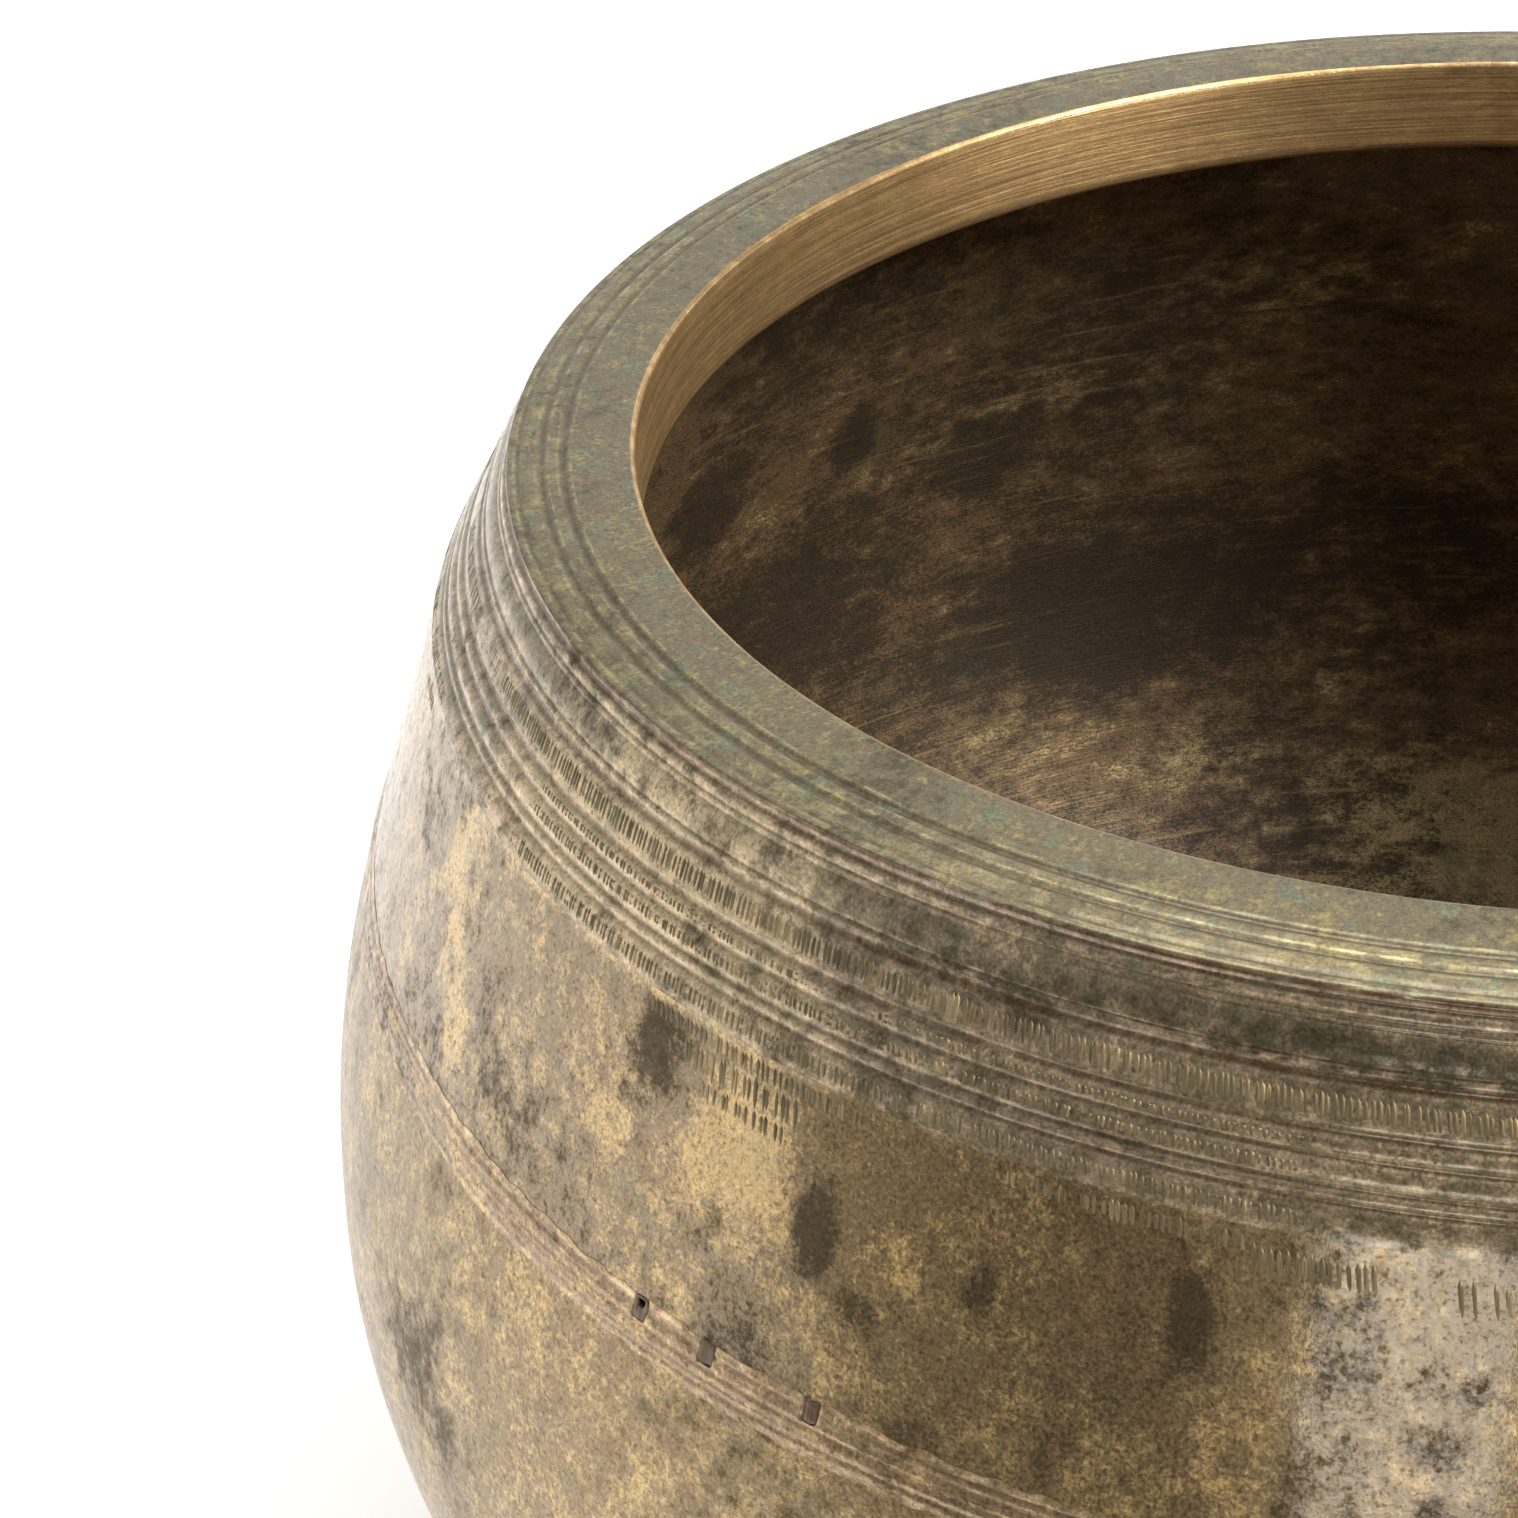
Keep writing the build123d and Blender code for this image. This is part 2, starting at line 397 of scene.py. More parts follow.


# a turned piece from rows of (radius, height, zone, wear with painted highlight, darkening with painted shade):
# a zone picks the material, shift moves the surface out, slide moves it along itself, lay is one direction for
# every row, marks are by zone
def lathe(name, rows, angles, materials, closed, shift=None, slide=None, lay=None, marks=None):
    outline = np.array([row[:2] for row in rows])
    step = np.roll(outline, -1, axis=0) - np.roll(outline, 1, axis=0)
    if not closed:
        step[0], step[-1] = outline[1] - outline[0], outline[-1] - outline[-2]
    if lay:
        step[:] = lay
    step /= np.linalg.norm(step, axis=1, keepdims=True)
    lengths = np.linalg.norm(np.diff(outline, axis=0), axis=1)
    along = np.concatenate([[0], np.cumsum(lengths)])[:, None]
    theta = angles[None, :]
    even = np.ones((len(rows), len(angles)))
    baseRadius, baseHeight = outline[:, :1] * even, outline[:, 1:] * even
    radius, height = baseRadius.copy(), baseHeight.copy()
    if shift:
        move = shift(theta, along, baseRadius, baseHeight)
        radius += move * step[:, 1:]
        height -= move * step[:, :1]
    if slide:
        move = slide(theta, along)
        radius += move * step[:, :1]
        height += move * step[:, 1:]
    points = np.stack([radius * np.cos(theta), radius * np.sin(theta), height], axis=2) * mm
    zones = np.array([row[2] for row in rows])
    fields = {"worn": np.array([row[3] for row in rows])[:, None] * even,
              "dirt": np.array([row[4] for row in rows])[:, None] * even,
              "along": along * mm * even}
    for key in ("stain", "gold"):
        fields[key] = 0 * even
        for zone, spots in (marks or {}).items():
            here = zones == zone
            reach = np.maximum(baseRadius[here], leastMarkRadius)
            fields[key][here] = spotField(spots[key], theta, baseHeight[here], reach)
    onAxis = outline[:, 0] < 1e-6                   # rows that shrink to one point
    keep = np.ones(even.shape, bool)
    keep[onAxis, 1:] = False
    ids = np.cumsum(keep.reshape(-1)).reshape(even.shape) - 1
    following = np.roll(ids, -1, axis=1)
    following[onAxis] = ids[onAxis]
    faces, slots = [], []
    for i in range(len(rows) if closed else len(rows) - 1):
        k = (i + 1) % len(rows)
        for quad in zip(ids[i], following[i], following[k], ids[k]):
            faces.append([v for n, v in enumerate(quad) if v != quad[n - 1]])
        slots += [rows[i][2]] * len(angles)
    mesh = bpy.data.meshes.new(name)
    mesh.from_pydata(points[keep].tolist(), [], faces)
    mesh.polygons.foreach_set("material_index", slots)
    mesh.polygons.foreach_set("use_smooth", [True] * len(faces))
    for key, field in fields.items():
        layer = mesh.attributes.new(key, "FLOAT", "POINT")
        layer.data.foreach_set("value", field[keep].astype(np.float32))
    for material in materials:
        mesh.materials.append(material)
    mesh.set_sharp_from_angle(angle=math.radians(sharpAngle))
    return addPiece(name, mesh)


def addPiece(name, mesh):
    piece = bpy.data.objects.new(name, mesh)
    bpy.context.scene.collection.objects.link(piece)
    return piece


def meshFrom(work, name, material):
    mesh = bpy.data.meshes.new(name)
    work.to_mesh(mesh)
    work.free()
    mesh.materials.clear()
    mesh.materials.append(material)
    mesh.polygons.foreach_set("use_smooth", [True] * len(mesh.polygons))
    return mesh


def finishPiece(piece, slot, *nodes):
    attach(piece, "root")
    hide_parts(*nodes)
    print(piece.name, len(piece.data.polygons), "faces")


# finishes: screen colours, then how much of each shows
looks = dict(
    wallPatina=dict(
        body=(149, 125, 90), gold=(214, 182, 124), dark=(84, 72, 52), bare=(238, 208, 166),
        grime=(92, 74, 52), green=(124, 134, 108), goldShare=(0.48, 0.74), darkShare=(0.50, 0.72),
        greenShare=0.25, mottleSize=0.015, streak=0.50, grain=0.32, fibre=1.0, turned=0.10, metallic=0.9,
        roughness=0.38, broken=0.5, skin=0.78, scratch=0.0, relief=0.4),
    shoulderPatina=dict(
        body=(150, 133, 103), gold=(214, 190, 150), dark=(84, 78, 58), bare=(236, 206, 172),
        grime=(104, 66, 38), green=(116, 124, 86), goldShare=(0.50, 0.74), darkShare=(0.50, 0.76),
        greenShare=0.85, mottleSize=0.012, streak=0.9, grain=0.34, fibre=1.0, turned=0.30, metallic=0.9,
        roughness=0.44, broken=0.5, skin=0.75, scratch=0.0, relief=0.5),
    rimPatina=dict(
        body=(130, 120, 96), gold=(166, 152, 100), dark=(86, 80, 62), bare=(192, 181, 136),
        grime=(80, 66, 46), green=(112, 142, 122), goldShare=(0.50, 0.72), darkShare=(0.48, 0.74),
        greenShare=0.55, mottleSize=0.008, streak=1.4, grain=0.26, fibre=1.0, turned=0.30, metallic=0.72,
        roughness=0.45, broken=0.5, skin=0.35, scratch=0.0, relief=0.4),
    lipBrass=dict(
        body=(194, 158, 108), gold=(224, 186, 128), dark=(150, 118, 78), bare=(240, 206, 144),
        grime=(92, 70, 44), green=(130, 120, 80), goldShare=(0.40, 0.72), darkShare=(0.52, 0.86),
        greenShare=0.0, mottleSize=0.012, streak=4.0, grain=0.12, fibre=3.0, turned=1.6, metallic=0.75,
        roughness=0.36, broken=0.2, brushed=0.8, skin=0.3, scratch=0.0, relief=0.5),
    innerDark=dict(
        body=(134, 108, 77), gold=(200, 176, 124), dark=(60, 50, 36), bare=(190, 162, 108),
        grime=(66, 54, 38), green=(88, 98, 62), goldShare=(0.54, 0.78), darkShare=(0.42, 0.66),
        greenShare=0.7, mottleSize=0.020, streak=2.2, grain=0.50, fibre=1.6, turned=0.60, metallic=0.35,
        roughness=0.44, broken=0.9, brushed=0.5, skin=0.3, scratch=0.35, relief=0.8),
    bellyPatina=dict(
        body=(150, 126, 88), gold=(208, 178, 120), dark=(94, 80, 56), bare=(240, 210, 160),
        grime=(104, 84, 58), green=(122, 130, 100), goldShare=(0.43, 0.71), darkShare=(0.52, 0.80),
        greenShare=0.15, mottleSize=0.011, streak=0.7, grain=0.38, fibre=1.0, turned=0.08, metallic=0.9,
        roughness=0.42, broken=0.6, skin=0.55, scratch=0.0, relief=0.7),
    solder=dict(
        body=(164, 137, 102), gold=(216, 182, 126), dark=(104, 86, 64), bare=(240, 208, 166),
        grime=(86, 66, 46), green=(120, 120, 96), goldShare=(0.46, 0.70), darkShare=(0.50, 0.74),
        greenShare=0.0, mottleSize=0.010, streak=1.6, grain=0.32, fibre=1.0, turned=0.40, metallic=0.9,
        roughness=0.40, broken=0.9, skin=0.7, scratch=0.25, relief=0.8),
    toolMarks=dict(
        body=(148, 132, 102), gold=(194, 172, 130), dark=(96, 86, 64), bare=(218, 194, 152),
        grime=(100, 82, 60), green=(124, 130, 96), goldShare=(0.50, 0.72), darkShare=(0.48, 0.74),
        greenShare=0.7, mottleSize=0.012, streak=1.0, grain=0.34, fibre=1.0, turned=0.0, metallic=0.8,
        roughness=0.62, broken=0.5, skin=0.0, scratch=0.0, relief=0.2),
    rustedIron=dict(
        body=(118, 96, 74), gold=(146, 120, 90), dark=(88, 70, 54), bare=(150, 126, 100),
        # this dark tone is painted shade: only the pins' blown holes carry it
        grime=(40, 32, 26), green=(80, 80, 60), goldShare=(0.50, 0.72), darkShare=(0.50, 0.70),
        greenShare=0.0, mottleSize=0.0015, streak=1.0, grain=0.3, fibre=1.0, turned=0.0, metallic=0.85,
        roughness=0.50, broken=0.5, skin=0.5, scratch=0.0, relief=0.8),
)


# what every finish shares: sizes of its noises per metre, and how strongly each layer covers
texture = dict(
    meanRadius=0.15,                                # metres, for patterns that run round the bowl
    grain=2400.0, speck=1150.0, pepper=1600.0, blotch=520.0, rust=260.0,
    lines=(22.0, 2300.0), flecks=(260.0, 420.0), scores=(36.0, 820.0),      # round the bowl, down it
    goldMark=0.26, stainMark=0.34, darkCover=0.92, pepperCover=0.45,
    reliefDepth=0.00012, filmShare=0.4, coatRoughness=0.11, coatIor=1.8,
)


def tone(colour):                                   # a screen colour as the shader wants it
    def linear(c):
        return c / 255 / 12.92 if c < 11 else ((c / 255 + 0.055) / 1.055) ** 2.4
    return tuple(linear(c) for c in colour) + (1.0,)


def patina(name):
    look = looks[name]
    material = bpy.data.materials.new(name)
    material.use_nodes = True
    tree = material.node_tree
    tree.nodes.clear()

    def maths(operation, a, b, clamp=False):
        return mathNode(tree, operation, a, b, clamp)

    def times(a, b):
        return maths("MULTIPLY", a, b)

    def total(first, *others):
        for value in others:
            first = maths("ADD", first, value)
        return first

    def swing(value, amount):                       # a noise about its middle
        return times(maths("SUBTRACT", value, 0.5), amount)

    def noise(vector, scale, detail=3.0, rough=0.55, warp=0.0):
        return addNode(tree, "ShaderNodeTexNoise", {"Vector": vector, "Scale": scale, "Detail": detail,
                                                    "Roughness": rough, "Distortion": warp}).outputs[0]

    def soften(value, low, high):
        return easeNode(tree, value, low, high)

    def blend(share, a, b):
        return addNode(tree, "ShaderNodeMix", {0: share, 6: a, 7: b}, data_type="RGBA").outputs[2]

    def cover(share, key):                          # lay one of the look's colours over what is there
        return blend(share, colour, tone(look[key]))

    def attribute(key):
        return addNode(tree, "ShaderNodeAttribute", attribute_name=key).outputs["Fac"]

    place = addNode(tree, "ShaderNodeTexCoord").outputs["Object"]
    split = addNode(tree, "ShaderNodeSeparateXYZ", {0: place}).outputs
    flat = addNode(tree, "ShaderNodeCombineXYZ", {0: split[0], 1: split[1]}).outputs[0]
    ray = addNode(tree, "ShaderNodeVectorMath", {0: flat}, operation="NORMALIZE").outputs[0]
    along = attribute("along")

    def around(turnScale, alongScale):              # metres round the bowl, and down its section
        arc = addNode(tree, "ShaderNodeVectorMath", {0: ray, "Scale": texture["meanRadius"] * turnScale},
                      operation="SCALE").outputs[0]
        down = addNode(tree, "ShaderNodeCombineXYZ", {2: times(along, alongScale)}).outputs[0]
        return addNode(tree, "ShaderNodeVectorMath", {0: arc, 1: down}, operation="ADD").outputs[0]

    coarse = 1 / look["mottleSize"]
    fibres = around(1.0, look["fibre"])
    streaks = around(1.0, look["streak"])
    mottle = noise(place, coarse, 7.0, 0.68, 0.5)
    patch = noise(fibres, coarse * 4.5, 5.0, 0.72)
    streak = noise(streaks, coarse * 1.7, 5.0, 0.6)
    cloud = noise(place, coarse * 0.35, 3.0, 0.5)
    grain = noise(fibres, texture["grain"], 2.0, 0.6)
    speck = noise(fibres, texture["speck"], 3.0, 0.7)
    lines = noise(around(*texture["lines"]), 1.0, 3.0, 0.6)
    fleck = noise(around(*texture["flecks"]), 1.0, 3.0, 0.65)
    score = noise(around(*texture["scores"]), 1.0, 3.0, 0.6)
    rust = noise(place, texture["rust"], 4.0, 0.65)
    blotch = noise(fibres, texture["blotch"], 5.0, 0.75)

    goldness = total(times(mottle, 0.5), times(streak, 0.5), swing(speck, look["broken"]), swing(patch, 0.5),
                     times(attribute("gold"), texture["goldMark"]))
    goldMask = soften(goldness, *look["goldShare"])
    darkness = total(times(maths("SUBTRACT", 1.0, streak), 0.45), times(cloud, 0.55),
                     swing(speck, look["broken"]), swing(patch, -0.6),
                     times(attribute("stain"), texture["stainMark"]))
    darkMask = soften(darkness, *look["darkShare"])
    greenness = soften(noise(around(1.0, 1.0), coarse * 1.8, 5.0, 0.68), 0.52, 0.66)
    greenMask = times(times(greenness, look["greenShare"]), soften(grain, 0.30, 0.62))
    pepper = soften(noise(fibres, texture["pepper"], 2.0, 0.6), 0.55, 0.68)
    dirt = maths("MULTIPLY", attribute("dirt"), soften(rust, 0.20, 0.62), True)
    scored = times(times(soften(score, 0.60, 0.72), soften(cloud, 0.42, 0.60)), look["scratch"])
    bare = maths("MULTIPLY", attribute("worn"), soften(fleck, 0.42, 0.66), True)
    bare = maths("MAXIMUM", bare, scored)

    colour = blend(goldMask, tone(look["body"]), tone(look["gold"]))
    colour = cover(greenMask, "green")
    colour = cover(times(darkMask, texture["darkCover"]), "dark")
    colour = cover(times(pepper, texture["pepperCover"]), "dark")
    # darker where the mesh says: the grooves, and painted shade at the rim's outer edge and in the pins' blown
    # holes
    colour = cover(dirt, "grime")
    # the pale tone covers scratches, rubbed wear and painted highlights
    colour = cover(bare, "bare")
    glint = total(1.0, swing(grain, look["grain"] * 5.0), swing(speck, look["grain"] * 2.5),
                  swing(lines, look["turned"]))
    colour = addNode(tree, "ShaderNodeHueSaturation", {"Value": glint, "Color": colour}).outputs[0]

    dull = maths("SUBTRACT", total(look["roughness"], times(darkMask, 0.10)), times(bare, 0.10))
    dull = total(dull, swing(grain, 0.30))
    height = total(times(grain, 0.5), times(speck, 0.5), times(lines, look["turned"] * 1.6), times(mottle, 0.6))
    bump, film = (addNode(tree, "ShaderNodeBump", {"Height": height, "Strength": look["relief"] * share,
                                                   "Distance": texture["reliefDepth"]}).outputs[0]
                  for share in (1.0, texture["filmShare"]))
    thin = total(times(darkMask, 0.75), times(soften(blotch, 0.44, 0.66), 0.55), times(pepper, 0.6))
    skin = times(maths("SUBTRACT", 1.0, thin, True), look["skin"])
    shader = addNode(tree, "ShaderNodeBsdfPrincipled", {
        "Base Color": colour, "Metallic": look["metallic"], "Roughness": dull, "Normal": bump,
        "Coat Weight": skin, "Coat Roughness": texture["coatRoughness"], "Coat IOR": texture["coatIor"],
        "Coat Normal": film})
    if look.get("brushed"):                         # turned metal spreads its shine across the tool's lines
        shader.inputs["Anisotropic"].default_value = look["brushed"]
        shader.inputs["Anisotropic Rotation"].default_value = 0.25
        lay = addNode(tree, "ShaderNodeTangent", direction_type="RADIAL", axis="Z").outputs[0]
        tree.links.new(lay, shader.inputs["Tangent"])
    addNode(tree, "ShaderNodeOutputMaterial", {"Surface": shader.outputs[0]})
    return material


finish = {name: patina(name) for name in looks}
print("finishes mixed")


# where the outside is stained or rubbed bright: degrees, height, half sizes in mm, strength
wallMarks = dict(
    stain=[(231.8, 167, 3.2, 5.5, 1.0), (242.0, 157.5, 2.9, 5.2, 1.0), (250.2, 158.8, 2.6, 2.6, 0.9),
           (258.9, 162, 2.0, 5.0, 1.0), (244.8, 151, 2.8, 2.2, 0.8), (209.7, 126.5, 3.2, 2.8, 0.7),
           (230.5, 160, 1.6, 2.8, 0.6), (216.5, 99, 12, 9, 0.5), (269.9, 160, 2.5, 2.0, 0.4),
           (268.4, 153, 2.5, 3.0, 0.35), (268.6, 147.5, 2.0, 1.5, 0.45)],
    gold=[(212.3, 167, 2.5, 6, 1.0), (214, 158, 2.2, 5, 1.0), (215.3, 153, 2.5, 4, 0.9),
          (216.4, 147, 3, 4, 1.0), (237.3, 161, 6.5, 9, 1.0), (228.5, 158, 6, 8, 0.6),
          (227, 150, 6, 5, 0.3), (246.5, 158, 2.5, 3, 0.6), (222, 150, 8, 6, 0.3), (229, 155, 3, 3, 0.5)],
)
shoulderMarks = dict(
    stain=[(262, 189, 24, 2.5, 0.7), (249, 187, 8, 2.5, 0.4), (255, 178, 5, 2.5, 0.4)],
    gold=[(222, 180, 20, 9, 1.0), (232, 180, 18, 9, 0.9), (228, 190, 18, 4, 0.8)],
)
innerMarks = dict(
    stain=[(118, 84, 34, 14, 0.8), (142, 100, 24, 16, 0.7), (128, 118, 9, 6, 0.9), (150, 128, 8, 8, 0.8),
           (138, 130, 4, 4, 1.0), (100, 92, 30, 14, 0.3), (119, 75, 18, 10, 0.8)],
    gold=[(97, 42, 24, 8, 1.4), (110, 146, 18, 10, 0.45), (104, 68, 16, 7, 0.4), (112, 52, 12, 4, 0.6),
          (124, 62, 14, 4, 0.6), (92, 30, 40, 8, 1.2), (130, 122, 10, 5, 0.7), (122, 128, 12, 6, 0.5)],
)
# the rest of the bowl gets marks of the same kinds: ranges in the same order
moreMarks = dict(
    seed=42, counts=dict(stain=26, gold=30),
    wall=((275, 535), (95, 171), (2.5, 7), (3, 11), (0.4, 1.0)),
    inside=((160, 450), (25, 165), (4, 14), (3, 10), (0.3, 0.9)),
)
markRng = np.random.default_rng(moreMarks["seed"])
for kind, count in moreMarks["counts"].items():
    for n in range(count):
        for marks, place in ((wallMarks, "wall"), (innerMarks, "inside")):
            marks[kind].append(tuple(markRng.uniform(low, high) for low, high in moreMarks[place]))

# unevenness of the casting: seed, waves, fewest and most turns, longest pitch in mm
cast = dict(slow=(3, 14, 2, 40, 70), fine=(5, 24, 30, 170, 14), slowDepth=0.10, fineDepth=0.025)
slowWaves = wavesOf(*cast["slow"])
fineWaves = wavesOf(*cast["fine"])


def castShift(theta, height):                       # always inwards, so the bowl keeps its size
    slow = np.tanh(uneven(slowWaves, theta, height))
    fine = np.tanh(uneven(fineWaves, theta, height))
    return -cast["slowDepth"] * (1 + slow) / 2 - cast["fineDepth"] * (1 + fine) / 2


# upper casting: rim, lip, shoulder and wall
upper = dict(
    columns=408, wallSpacing=1.3, lipSpacing=1.6, insideSpacing=2.0, jointSpacing=3.0,
    rustStep=(0.13, 0.32),                          # the rim edge's rounding: in, and up
    castShares=(1.0, 0.3, 0.15, 0.0, 1.0),          # how uneven each zone is
    pitAngle=191.8, pitInset=3.0, pitSize=(1.0, 0.55), pitDepth=0.35, pitColumns=(0.9, 15),
)
upperLooks = ("wallPatina", "rimPatina", "lipBrass", "innerDark", "shoulderPatina")     # zones 0 to 4


def makeUpperCasting():
    wall, joint = section["wall"], section["seamDepth"]
    rows = []
    addRows(rows, straight(wallPoint(bandTop, 0), wallPoint(0, 0), upper["wallSpacing"])[:-1], 0)
    points, worn, dirt = shoulderRows()
    addRows(rows, points[::-1], 4, worn[::-1], dirt[::-1])
    # the rim's outer edge face is painted dark: painted shade
    rimEdgeTop = rimTop - section["rimFall"] - section["rimEdgeRound"]
    addRows(rows, [(rimRadius, rimEdgeTop)], 4, 0.0, 1.0)
    points, worn, dirt = rimRows()
    edgeIn, edgeUp = upper["rustStep"]
    addRows(rows, [(rimRadius - edgeIn, rimEdgeTop + edgeUp)], 1, 0.3, 0.6)
    addRows(rows, points, 1, worn, dirt)
    r = section["lipRound"]
    corner = [(mouthRadius + r - r * math.sin(a), rimTop - r + r * math.cos(a))
              for a in np.radians([18, 36, 54, 72, 90])]
    addRows(rows, corner, 2, [0.5, 1.0, 1.0, 0.8, 0.4])
    neckFoot = wallPoint(0, wall)
    neckRadius = neckFoot[0] - (lipFootZ - neckFoot[1]) / math.tan(slope)
    lip = [(mouthRadius, rimTop - r), (mouthRadius, lipFootZ), (neckRadius, lipFootZ), neckFoot]
    inside = rounded(lip, [section["lipFootRound"], section["neckRound"]], upper["lipSpacing"])
    lipRows = sum(1 for p in inside if p[0] < mouthRadius + 1.2)
    addRows(rows, inside[:lipRows], 2)
    addRows(rows, inside[lipRows:], 3)
    addRows(rows, straight(neckFoot, wallPoint(tongueTop, wall), upper["insideSpacing"]), 3)
    for top, low, inset in ((tongueTop, wallLength, tongueInset), (wallLength, bandTop, joint)):
        addRows(rows, straight(wallPoint(top, inset), wallPoint(low, inset), upper["jointSpacing"]), 3)
    zones = np.array([row[2] for row in rows])[:, None]
    shares = np.array(upper["castShares"])[zones]

    def shift(theta, along, radius, height):
        turn = (theta - math.radians(upper["pitAngle"])) * radius / upper["pitSize"][0]
        far = np.hypot(turn, (radius - rimRadius + upper["pitInset"]) / upper["pitSize"][1])
        pit = np.clip(1 - far, 0, 1) ** 0.6 * upper["pitDepth"]
        return castShift(theta, height) * shares - pit * (zones == 1)

    angles = columnAngles(upper["columns"], [(upper["pitAngle"], *upper["pitColumns"])])
    piece = lathe("upperCasting", rows, angles, [finish[look] for look in upperLooks], True, shift,
                  marks={0: wallMarks, 3: innerMarks, 4: shoulderMarks})
    finishPiece(piece, "aged_brass", "upper_casting")


# lower casting: belly and base, with the tongue inside the seam
lower = dict(columns=432, floorSpacing=8.0, evenFoot=(4, 20))     # the foot is true, then unevenness grows


def bellyCurve(inset, floorZ):                      # from the flat base up to the seam
    base, belt = section["baseRadius"], section["beltHeight"]
    widest = bellyRadius - inset
    points = [(base + (widest - base) * math.sin(a), belt - (belt - floorZ) * math.cos(a))
              for a in np.linspace(0, math.pi / 2, section["beltSteps"])]
    end = wallPoint(bandFoot, inset)
    dx, dz = widest - end[0], end[1] - belt
    bend = (dx * dx + dz * dz) / (2 * dx)
    sweep = math.asin(dz / bend)
    points += [(widest - bend + bend * math.cos(a), belt + bend * math.sin(a))
               for a in np.linspace(0, sweep, section["wallSteps"])[1:]]
    return points


def makeLowerCasting():
    base, wall, joint = section["baseRadius"], section["wall"], section["seamDepth"]
    floorZ = section["baseThickness"]
    rows = []
    addRows(rows, straight((0, 0), (base, 0), lower["floorSpacing"]), 0)
    addRows(rows, bellyCurve(0, 0), 0)
    tongue = ((bandFoot, joint), (wallLength, joint), (wallLength, tongueInset),
              (tongueTop, tongueInset), (tongueTop, wall))
    addRows(rows, [wallPoint(along, inset) for along, inset in tongue], 1)
    addRows(rows, bellyCurve(wall, floorZ)[::-1], 1)
    addRows(rows, straight((base, floorZ), (0, floorZ), lower["floorSpacing"]), 1)
    outside = np.array([row[2] == 0 for row in rows])[:, None]
    evenTo, growth = lower["evenFoot"]

    def shift(theta, along, radius, height):
        return castShift(theta, height) * np.clip((height - evenTo) / growth, 0, 1) * outside

    piece = lathe("lowerCasting", rows, columnAngles(lower["columns"]),
                  [finish["bellyPatina"], finish["innerDark"]], False, shift,
                  marks={0: wallMarks, 1: innerMarks})
    finishPiece(piece, "cast_brass", "lower_casting")


# seam: solder dressed over the joint, and the pins driven through it
seam = dict(
    columns=760, rowCount=27, spill=0.35, skin=0.05, clearance=0.02,
    ragged=0.28, raggedWaves=(17, 30, 6, 220, 9999), filed=0.035, filedWaves=(19, 40, 2, 26, 0.9),
    # lines along the band: place from its bottom edge, half width, and depth, or brightness of a painted
    # highlight
    furrows=((0.80, 0.05, 0.09), (0.20, 0.05, 0.07), (0.52, 0.03, 0.06)),
    brightLines=((0.93, 0.06, 1.0), (0.08, 0.05, 0.6), (0.70, 0.05, 0.4)),
    pinAngles=[234.0, 238.0, 243.5], pinGroups=3, pinRise=2.0, pinWidth=2.5, pinHeight=3.1,
    pinDeep=0.9, pinColumns=(0.75, 19), pinSides=36, pinSeed=23,
    # rings of a pin's surface: size, height out of the wall, shift upwards, squareness
    plainPin=((0.97, -5.0, 0, 6), (1.0, -0.3, 0, 6), (0.97, 0.0, 0, 6), (0.93, 0.08, 0, 6),
              (0.86, 0.11, 0, 6), (0.60, 0.13, 0, 5), (0.30, 0.14, 0, 3)),
    holedPin=((0.97, -5.0, 0, 6), (1.0, -0.3, 0, 6), (0.97, 0.0, 0, 6), (0.93, 0.08, 0, 6),
              (0.84, 0.10, 0, 7), (0.66, 0.08, 0.30, 5), (0.50, 0.06, 0.70, 3), (0.44, -0.05, 0.80, 2),
              (0.38, -0.45, 0.80, 2), (0.20, -0.90, 0.80, 2)),
)


def allPinAngles():
    turn = 360 / seam["pinGroups"]
    return [(angle + turn * group) % 360 for group in range(seam["pinGroups"]) for angle in seam["pinAngles"]]


def ridges(lines, t):                               # sum of soft lines across the band
    return sum(size * math.exp(-((t - middle) / half) ** 2) for middle, half, size in lines)


